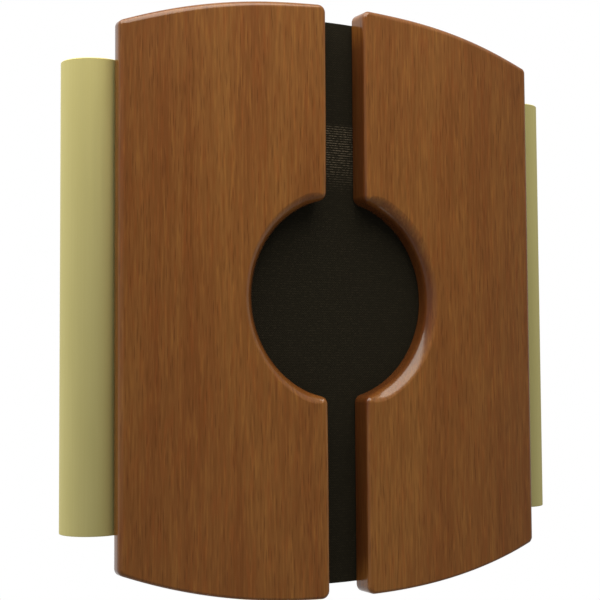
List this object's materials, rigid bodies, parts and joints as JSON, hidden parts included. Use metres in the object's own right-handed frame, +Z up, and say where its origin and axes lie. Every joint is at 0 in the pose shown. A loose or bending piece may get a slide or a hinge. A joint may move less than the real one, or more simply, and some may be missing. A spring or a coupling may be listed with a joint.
{
  "type": "wall door chime",
  "caption": "Wired wall door chime: arched wooden panels over black cloth with brass side tubes, on a pull-off case; solenoid plungers strike steel tone bars.",
  "frame": {"origin": "centre of the wall plate's back face, on the wall", "axes": "+Z up, front faces -Y, +Y into the wall, +X to the right as seen from the front"},
  "size_m": [0.203, 0.0599, 0.2156],
  "materials": {
    "lacquered_beech": "stained and clear lacquered",
    "speaker_cloth": "open woven",
    "black_board": "hard pressed board, black",
    "black_moulding": "moulded, fine texture",
    "zinc_plate": "bright zinc plated",
    "satin_brass": "satin, clear lacquered",
    "white_moulding": "moulded",
    "bar_steel": "ground, bright nickel",
    "spring_steel": "drawn wire",
    "rubber": "moulded",
    "nylon": "moulded, natural",
    "coil_tape": "polyester tape",
    "felt": "pressed wool",
    "terminal_brass": "stamped and turned",
    "red_wire": "insulated wire",
    "blue_wire": "insulated wire",
    "white_wire": "insulated wire"
  },
  "bodies": {
    "wall_unit": {"base_plate": "white_moulding", "left_tone_bar": "bar_steel", "right_tone_bar": "bar_steel", "tone_bar_pins": "bar_steel", "tone_bar_grommets": "rubber", "pin_retainers": "zinc_plate", "front_bobbin": "nylon", "rear_bobbin": "nylon", "front_winding": "coil_tape", "rear_winding": "coil_tape", "front_yoke": "zinc_plate", "rear_yoke": "zinc_plate", "base_screws": "zinc_plate", "front_spring": "spring_steel", "rear_spring": "spring_steel", "damper_pad": "felt", "terminal_block": "black_moulding", "terminal_clamps": "terminal_brass", "terminal_screws": "terminal_brass", "front_lead": "red_wire", "rear_lead": "blue_wire", "common_leads": "white_wire"},
    "cover": {"left_wood_panel": "lacquered_beech", "right_wood_panel": "lacquered_beech", "grille_cloth": "speaker_cloth", "grille_board": "black_board", "cover_case": "black_moulding", "case_screws": "zinc_plate", "panel_screws": "zinc_plate", "left_tube": "satin_brass", "right_tube": "satin_brass", "tube_saddles": "black_moulding", "tube_screws": "zinc_plate"},
    "front_plunger": {"front_plunger_core": "bar_steel", "front_plunger_tips": "nylon"},
    "rear_plunger": {"rear_plunger_core": "bar_steel", "rear_plunger_tips": "nylon"}
  },
  "joints": [
    {"name": "cover_pull_off", "type": "slide", "parent": "wall_unit", "child": "cover", "axis": [0, -1, 0], "range_m": [0, 0.06]},
    {"name": "front_plunger_slide", "type": "slide", "parent": "wall_unit", "child": "front_plunger", "axis": [1, 0, 0], "range_m": [-0.0015, 0.009], "stiffness_N_per_m": 60, "deforming": ["front_spring"]},
    {"name": "rear_plunger_slide", "type": "slide", "parent": "wall_unit", "child": "rear_plunger", "axis": [1, 0, 0], "range_m": [0, 0.009], "stiffness_N_per_m": 60, "deforming": ["rear_spring"]}
  ]
}
